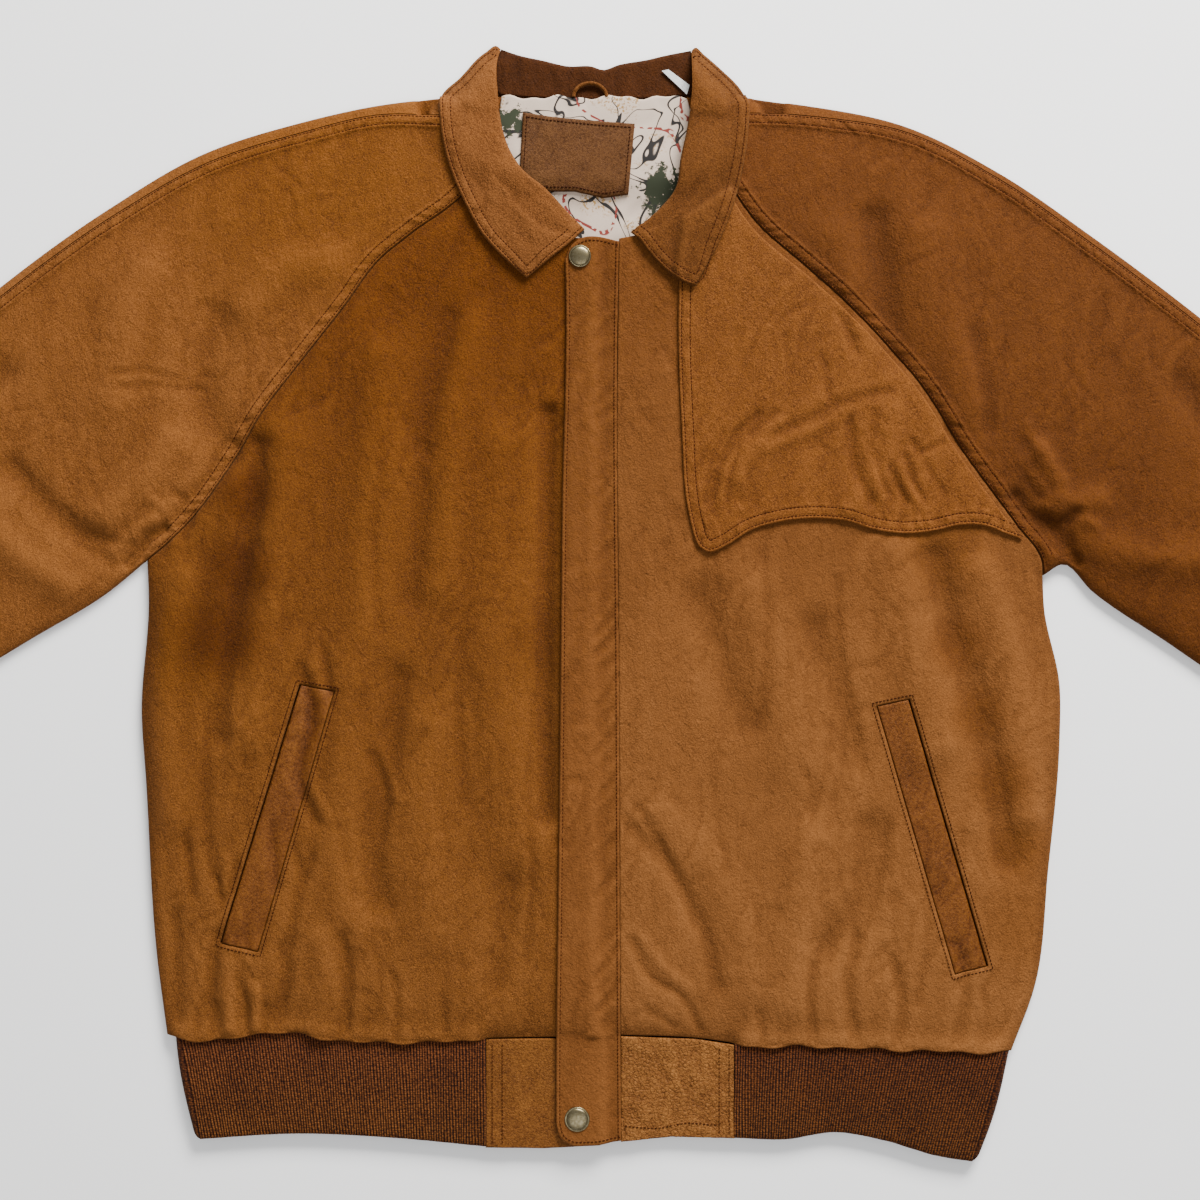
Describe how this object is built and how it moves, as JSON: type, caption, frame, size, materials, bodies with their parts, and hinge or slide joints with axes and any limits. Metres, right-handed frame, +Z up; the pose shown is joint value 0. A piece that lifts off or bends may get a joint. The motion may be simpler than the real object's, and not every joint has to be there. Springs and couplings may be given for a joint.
{
  "type": "worn leather jacket laid flat",
  "caption": "Worn leather bomber jacket with raglan sleeves, knitted waistband and cuffs, snapped placket and storm flap, closed and laid flat on its back.",
  "frame": {"origin": "on the surface that the jacket lies on, under the middle of the box round it", "axes": "+X to the wearer's left, along the spread sleeves; +Y from the hem to the collar; +Z up, out of the front"},
  "size_m": [1.4856, 0.7822, 0.0205],
  "materials": {
    "suede": "worn tan nubuck",
    "tab_leather": "worn grained tan leather",
    "welt_leather": "smooth reddish-brown leather",
    "knit": "dark brown rib knit",
    "lining": "printed cream cloth",
    "patch_leather": "smooth brown leather",
    "label": "white woven tape",
    "aged_brass": "worn antique brass"
  },
  "bodies": {
    "root": {"back": "suede", "care_label": "label", "collar_back": "suede", "collar_left": "suede", "collar_right": "suede", "cuff_left": "knit", "cuff_right": "knit", "front_left": "suede", "front_right": "suede", "hanger_loop": "suede", "label_patch": "patch_leather", "lining_neck": "lining", "placket": "suede", "sleeve_left_back": "suede", "sleeve_left_front": "suede", "sleeve_right_back": "suede", "sleeve_right_front": "suede", "snap_bottom": "aged_brass", "snap_top": "aged_brass", "storm_flap": "suede", "waist_tab_left": "tab_leather", "waist_tab_right": "tab_leather", "waistband": "knit", "welt_left": "welt_leather", "welt_right": "welt_leather"}
  },
  "joints": []
}
